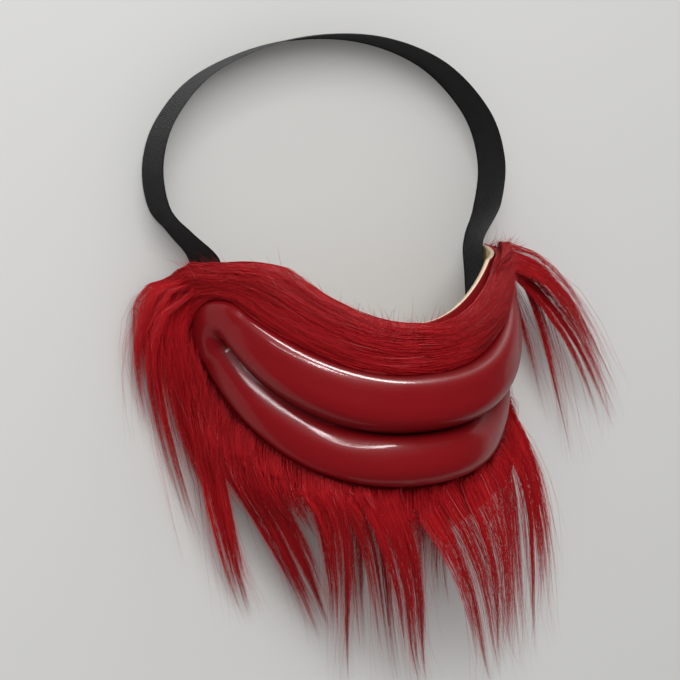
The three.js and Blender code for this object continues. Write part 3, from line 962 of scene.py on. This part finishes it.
COAT_TONES = (0.2, 0.65)
COAT_KEYS = ((0, 0.2, 1), (0.3, 0.8, 0.8), (0.65, 1, 0.6), (1, 0.9, 0.4))
LOWER_LIP = LIPS[2 * COLUMNS_PER_SIDE : 3 * COLUMNS_PER_SIDE + 1]


def under_lip(girth):
    """The height of the lower lip's outer side at any girth."""
    return np.interp(girth, LOWER_LIP[:, 0], LOWER_LIP[:, 1])


def beard_hairs(locks):
    """The hairs of some locks. Each starts anywhere between the lower lip and the lock's own root."""
    made = []
    for lock in locks:
        controls, out = lock_controls(lock, bottom_edge, 1, BEARD_LIFT)
        falling, widths, tones = hairs_of_lock(lock, controls, out)
        girth, height = off_face(falling[:, 0])
        room = np.maximum(under_lip(girth) - height, LEAST_ROOM)
        root_height = height + room * rng.uniform(*BEARD_ROOTS, len(girth))
        root = on_face(girth, root_height, rng.uniform(*BEARD_ROOT_LIFT, len(girth)))
        made.append((np.concatenate([root[:, None], falling], axis=1), widths, tones))
    keys, widths, tones = (np.concatenate(rows) for rows in zip(*made))
    return keys, STEPS_LONG, widths, tones


def coat_hairs():
    """The short hair between the lower lip and the bottom edge, and a little past it."""
    hairs = COAT_WISPS * HAIRS_PER_COAT_WISP
    wisp = np.repeat(np.arange(COAT_WISPS), HAIRS_PER_COAT_WISP)
    place = rng.uniform(*LOWER_ENDS, COAT_WISPS)[wisp] + rng.normal(0, 0.012, hairs)
    girth, height = on_strip(place, rng.uniform(0.03, 0.9, COAT_WISPS)[wisp])
    length = rng.uniform(*COAT_LENGTH, COAT_WISPS)[wisp] * rng.uniform(0.5, 1.1, hairs)
    lean = rng.normal(0.25, 0.10, COAT_WISPS)[wisp] + rng.normal(0, 0.06, hairs)
    spread = rng.normal(0, COAT_WISP_WIDTH, hairs)
    layer = rng.uniform(0.5, 1.1, COAT_WISPS)[wisp] + rng.normal(0, 0.08, hairs)
    keys = []
    for run, rise, gather in COAT_KEYS:
        at = girth + spread * gather + lean * length * run
        keys.append(on_face(at, height - length * run, LOWER_PILE * rise * layer))
    tones = rng.uniform(*COAT_TONES, COAT_WISPS)[wisp]
    return np.stack(keys, axis=1), STEPS_SHORT, rng.uniform(*HAIR_WIDTH, hairs), tones


fur_piece("beard_coat", "lower_fur", *coat_hairs())
fur_piece("beard_right", "lower_fur", *beard_hairs(BEARD[:7]))
fur_piece("beard_left", "lower_fur", *beard_hairs(BEARD[7:]))

# %% [markdown]
# ## Stray hairs
#
# Combed fur keeps a fuzz of single hairs that stand out from it. They are the finest hairs here, and they are
# what makes the outline of the fur look soft.

# %% The stray hairs
STRAY_TONES = (0.3, 0.8)
EDGE_FUZZ_HAIRS = 1500
EDGE_FUZZ_PLACES = (3.5, 5.35)
EDGE_FUZZ_LENGTH = (0.004, 0.013)
EDGE_FUZZ_SWING = 0.22
EDGE_FUZZ_DROOP = np.array([0, -0.14, -0.14])
TUFT_FUZZ_HAIRS = 320
BEARD_FUZZ_HAIRS = 520
FUZZ_WANDER = 0.016
FUZZ_LIFT = 0.008
FUZZ_OFFSET = 0.004


def strays(hairs, start, toward):
    """Short hairs that leave their start in a direction and bend down on the way."""
    runs = np.array([0, 0.3, 0.65, 1])[None, :, None]
    length = rng.uniform(*EDGE_FUZZ_LENGTH, (hairs, 1, 1))
    swing = rng.normal(0, EDGE_FUZZ_SWING, (hairs, 1, 3)) * length * runs**2
    fall = EDGE_FUZZ_DROOP * length * runs**2
    keys = start[:, None, :] + unit(toward)[:, None, :] * length * runs + swing + fall
    return keys, STEPS_SHORT, rng.uniform(*FINE_WIDTH, hairs), rng.uniform(*STRAY_TONES, hairs)


def edge_fuzz(hairs):
    """Short hairs along the top of the upper strip."""
    place = rng.uniform(*EDGE_FUZZ_PLACES, hairs)
    share = rng.uniform(0.55, 1, hairs)
    girth, height = on_strip(place, share * covered(place))
    start = on_face(girth, height, UPPER_PILE * 0.8 * pile_height(share))
    out = unit(on_face(girth, height, 0.01 + 0 * girth) - on_face(girth, height, 0 * girth))
    along = np.sign(MIDDLE - place)[:, None] * np.array([1.0, 0, 0])
    toward = 0.5 * out + 0.45 * along + np.array([0, 0.75, 0]) + rng.normal(0, 0.3, (hairs, 3))
    return strays(hairs, start, toward)


def lock_fuzz(hairs, locks, edge, inwards, root_lift):
    """Long single hairs that leave the locks on either side."""
    chosen = rng.integers(0, len(locks), hairs)
    keys = []
    for index in chosen:
        controls, out = lock_controls(locks[index], edge, inwards, root_lift)
        share = (np.array([0, 0.25, 0.5, 0.75, 1]) * rng.uniform(0.5, 1.0))[None, :]
        wander = rng.uniform(-FUZZ_WANDER, FUZZ_WANDER) * share**1.5 + rng.normal(0, FUZZ_OFFSET)
        lift = rng.uniform(0, FUZZ_LIFT) * share * (1 - share) * 4
        keys.append(along_lock(controls, out, share, wander, lift)[0])
    return np.array(keys), STEPS_LONG, rng.uniform(*FINE_WIDTH, hairs), rng.uniform(*STRAY_TONES, hairs)


fur_piece("edge_fuzz", "upper_fur", *edge_fuzz(EDGE_FUZZ_HAIRS))
fur_piece("tuft_fuzz", "upper_fur", *lock_fuzz(TUFT_FUZZ_HAIRS, TUFTS, top_edge, -1, TUFT_LIFT))
fur_piece("beard_fuzz", "lower_fur", *lock_fuzz(BEARD_FUZZ_HAIRS, BEARD, bottom_edge, 1, BEARD_LIFT))

# %% [markdown]
# ## The elastic strap
#
# The strap is flat braided elastic, 25 millimetres wide: ribs of rubber core run along it, and the yarn round
# them crosses it in fine steps. It stands on its edge. A grid with a few points for each rib is given a
# second face by extrusion, and both faces are then moved to their places along the strap's route.

# %% Make the strap
STRAP_WIDTH = 0.025
STRAP_THICKNESS = 0.0015
STRAP_STEPS = 160
STRAP_RIBS = 15
POINTS_PER_RIB = 4
RIB_DEPTH = 0.00016
RIB_POWER = 0.7
SELVEDGE = 0.04
SELVEDGE_THICKNESS = 0.45
WEAVE_ALONG = 3900
WEAVE_ACROSS = 700
WING_LEAN = 0.0044
LEAN_ENDS = 0.080
UPRIGHT_FROM = 0.096
STRAP_ROUTE = np.array([
    (-0.0712, 0.046), (-0.0712, 0.062), (-0.0716, 0.079), (-0.0825, 0.092), (-0.092, 0.104), (-0.0935, 0.124),
    (-0.085, 0.144), (-0.064, 0.163), (-0.026, 0.176), (0.016, 0.177), (0.052, 0.165), (0.076, 0.142),
    (0.084, 0.118), (0.0805, 0.096), (0.0716, 0.079), (0.0712, 0.062), (0.0712, 0.046),
])


def evenly(path, count):
    """A path's points again, at even distances along it."""
    run = np.concatenate([[0], np.cumsum(np.linalg.norm(np.diff(path, axis=0), axis=1))])
    at = np.linspace(0, run[-1], count)
    return np.stack([np.interp(at, run, path[:, axis]) for axis in range(path.shape[1])], axis=1), run[-1]


def make_strap():
    fine = through(STRAP_ROUTE[None], np.linspace(0, 1, 2000))[0]
    route, length = evenly(fine, STRAP_STEPS + 1)
    ahead = np.gradient(route, axis=0)
    ahead /= np.linalg.norm(ahead, axis=1, keepdims=True)
    bm = bmesh.new()
    bmesh.ops.create_grid(bm, x_segments=STRAP_STEPS, y_segments=STRAP_RIBS * POINTS_PER_RIB, size=0.5)
    back = bmesh.ops.extrude_face_region(bm, geom=bm.faces[:])["geom"]
    back = {item for item in back if isinstance(item, bmesh.types.BMVert)}
    along_layer = bm.verts.layers.float.new("along_strap")
    across_layer = bm.verts.layers.float.new("across_strap")
    for vert in bm.verts:
        step = round((vert.co.x + 0.5) * STRAP_STEPS)
        across = vert.co.y + 0.5
        face = -1 if vert in back else 1
        rib = abs(math.sin(math.pi * STRAP_RIBS * across)) ** RIB_POWER
        edge = mix(SELVEDGE_THICKNESS, 1, min(1, across / SELVEDGE, (1 - across) / SELVEDGE))
        off = face * (STRAP_THICKNESS / 2 - RIB_DEPTH * (1 - rib)) * edge
        (x, y), (dx, dy) = route[step], ahead[step]
        upright = np.clip((y - LEAN_ENDS) / (UPRIGHT_FROM - LEAN_ENDS), 0, 1)
        lean = math.copysign(WING_LEAN, x) * (1 - upright) * (0.5 - across)
        vert[along_layer] = step / STRAP_STEPS * length
        vert[across_layer] = across * STRAP_WIDTH
        vert.co = (MIDDLE_X + x - dy * off + lean, MOUTH_Y + y + dx * off, across * STRAP_WIDTH)
    bmesh.ops.recalc_face_normals(bm, faces=bm.faces)
    weave = finish("woven_elastic", woven_elastic, Sheen_Weight=0.1)
    strap = new_piece("elastic_band", smooth_mesh("elastic_band", bm), weave)
    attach(strap, "root")
    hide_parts("elastic_strap")
    print("the strap is", round(length, 4), "m long")
    return strap


def woven_elastic(wire):
    slant = wire.kept("along_strap") * WEAVE_ALONG + wire.kept("across_strap") * WEAVE_ACROSS
    pick = wire.math("ABSOLUTE", wire.math("SINE", slant))
    fuzz = wire.place().noise(2200, 3)
    # The colour follows the weave and the fuzz: partly the yarn's own pattern, partly a painted sheen on the
    # tops of the picks.
    color = (pick * 0.6 + fuzz * 0.5).ramp((0.2, (0.003, 0.003, 0.004)), (0.9, (0.013, 0.013, 0.016)))
    bump = wire.node("Bump", sockets={"Strength": 0.6, "Distance": 0.0002, "Height": pick + fuzz})
    return {"Base Color": color, "Roughness": 0.75 + 0.2 * fuzz, "Normal": bump}


make_strap()
